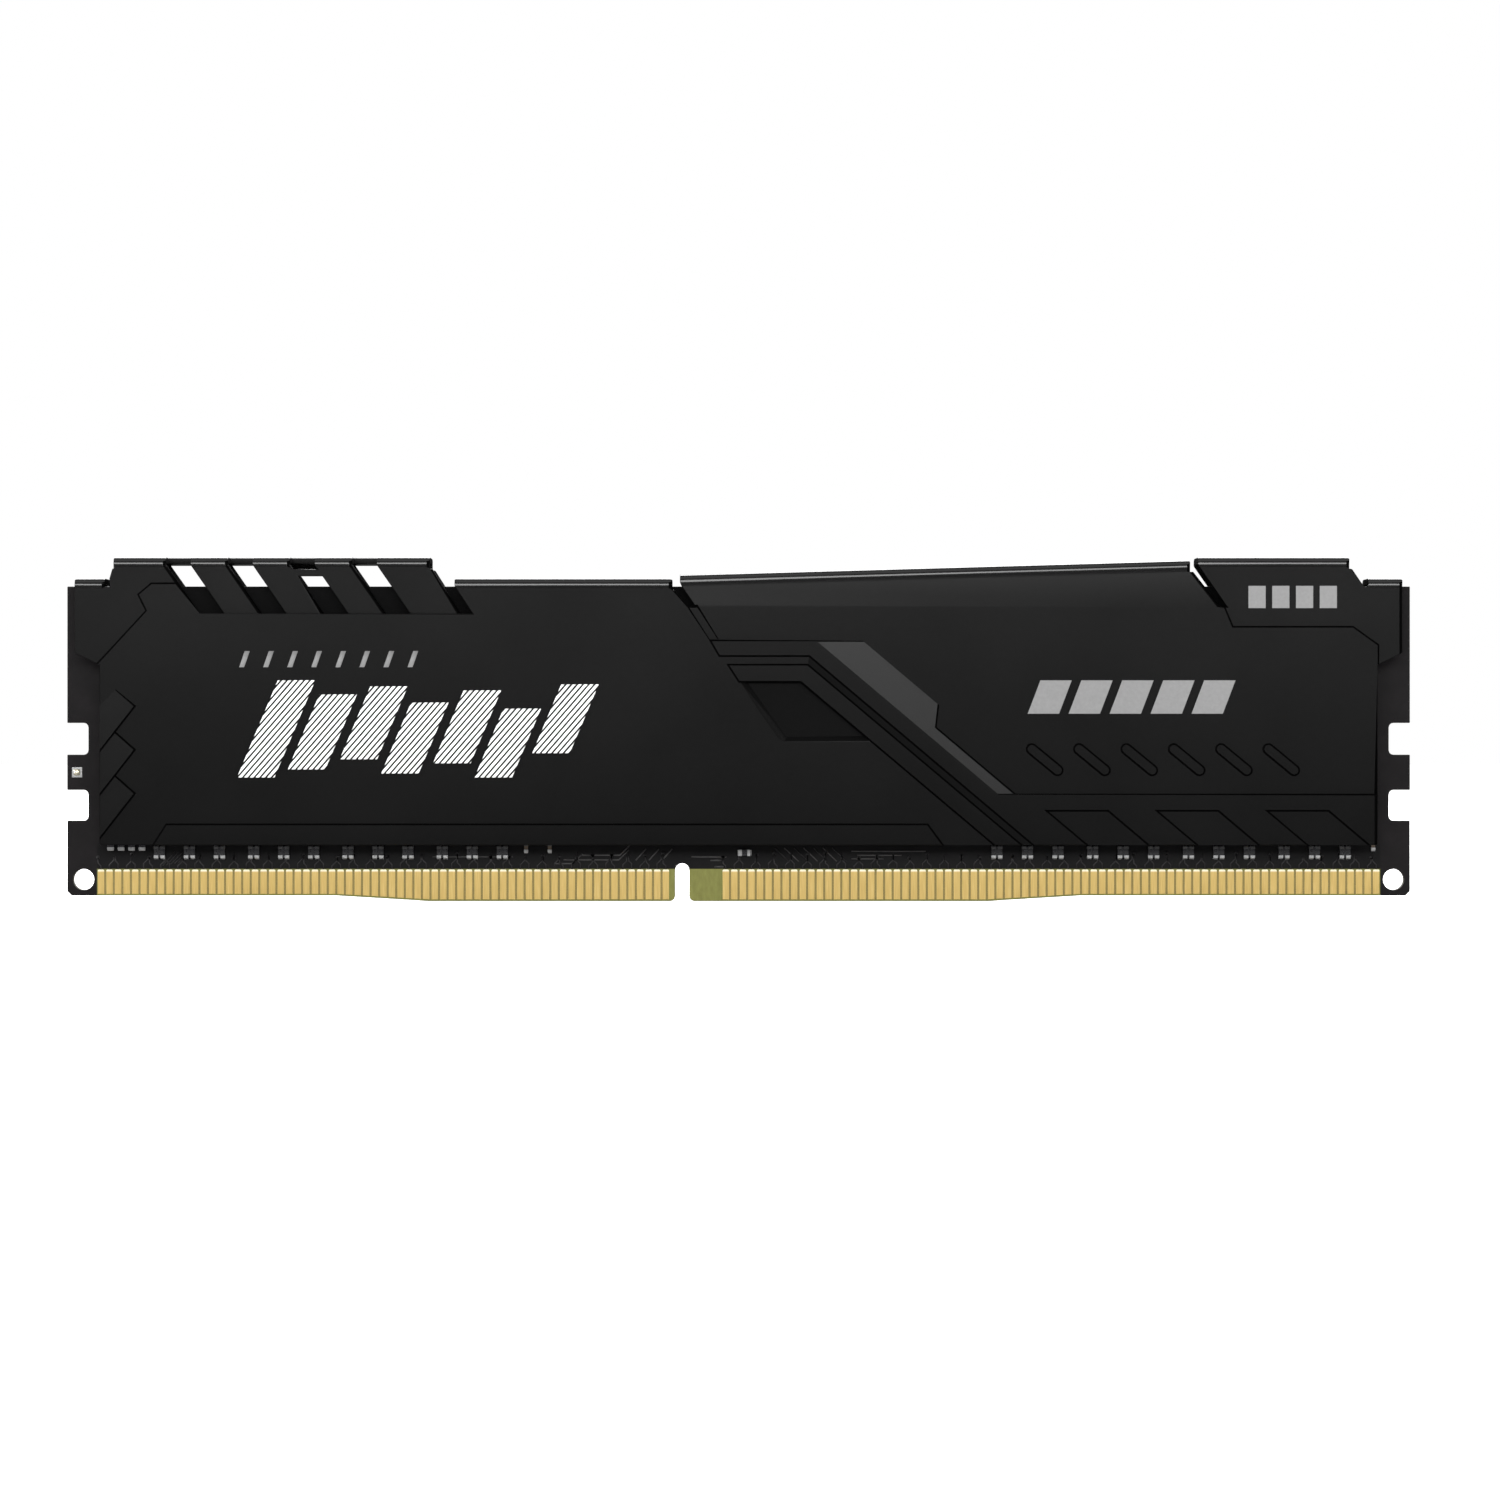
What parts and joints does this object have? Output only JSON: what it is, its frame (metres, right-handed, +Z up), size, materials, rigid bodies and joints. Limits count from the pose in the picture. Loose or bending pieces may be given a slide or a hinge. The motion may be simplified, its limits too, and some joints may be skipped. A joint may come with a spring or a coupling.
{
  "type": "ram module",
  "caption": "Desktop memory module: a notched circuit board with gold edge contacts between two bent black heat spreader plates with slotted fins and raised ribs.",
  "frame": {"origin": "on the contact edge, the lowest face of the board, at the middle of the module's length and thickness", "axes": "+X along the module to the right seen from the front, +Y from the front plate to the back plate, +Z up from the contact edge"},
  "size_m": [0.1334, 0.0072, 0.0341],
  "materials": {
    "board_laminate": "black solder mask over glass epoxy laminate, satin, with a faint trace relief",
    "contact_gold": "gold plating over copper, satin, with fine insertion wear",
    "black_spreader": "black coated aluminium sheet, fine matt grain",
    "chip_mould": "matt epoxy mould compound",
    "thermal_pad": "soft silicone pad, matt",
    "resistor_body": "glazed ceramic with tinned terminals",
    "capacitor_body": "brown ceramic with tinned terminals"
  },
  "bodies": {
    "root": {"circuit_board": "board_laminate", "front_heat_spreader": "black_spreader", "back_heat_spreader": "black_spreader", "front_left_edge_contacts": "contact_gold", "front_right_edge_contacts": "contact_gold", "back_left_edge_contacts": "contact_gold", "back_right_edge_contacts": "contact_gold", "ground_pad": "contact_gold", "memory_chip_1": "chip_mould", "memory_chip_2": "chip_mould", "memory_chip_3": "chip_mould", "memory_chip_4": "chip_mould", "memory_chip_5": "chip_mould", "memory_chip_6": "chip_mould", "memory_chip_7": "chip_mould", "memory_chip_8": "chip_mould", "spd_chip": "chip_mould", "front_left_thermal_pad": "thermal_pad", "front_right_thermal_pad": "thermal_pad", "back_thermal_pad": "thermal_pad", "decoupling_capacitor_1": "capacitor_body", "decoupling_capacitor_2": "capacitor_body", "decoupling_capacitor_3": "capacitor_body", "decoupling_capacitor_4": "capacitor_body", "decoupling_capacitor_5": "capacitor_body", "decoupling_capacitor_6": "capacitor_body", "left_resistor_array_1": "resistor_body", "left_resistor_array_2": "resistor_body", "left_resistor_array_3": "resistor_body", "left_resistor_array_4": "resistor_body", "left_resistor_array_5": "resistor_body", "left_resistor_array_6": "resistor_body", "left_resistor_array_7": "resistor_body", "left_resistor_array_8": "resistor_body", "left_resistor_array_9": "resistor_body", "left_resistor_array_10": "resistor_body", "left_resistor_array_11": "resistor_body", "left_resistor_array_12": "resistor_body", "right_resistor_array_1": "resistor_body", "right_resistor_array_2": "resistor_body", "right_resistor_array_3": "resistor_body", "right_resistor_array_4": "resistor_body", "right_resistor_array_5": "resistor_body", "right_resistor_array_6": "resistor_body", "right_resistor_array_7": "resistor_body", "right_resistor_array_8": "resistor_body", "right_resistor_array_9": "resistor_body", "right_resistor_array_10": "resistor_body", "right_resistor_array_11": "resistor_body", "right_resistor_array_12": "resistor_body", "end_resistor_1": "resistor_body", "end_resistor_2": "resistor_body", "end_resistor_3": "resistor_body", "end_resistor_4": "resistor_body", "left_filter_capacitor": "capacitor_body", "right_filter_capacitor": "capacitor_body", "end_capacitor": "capacitor_body", "sense_resistor": "resistor_body"}
  },
  "joints": []
}
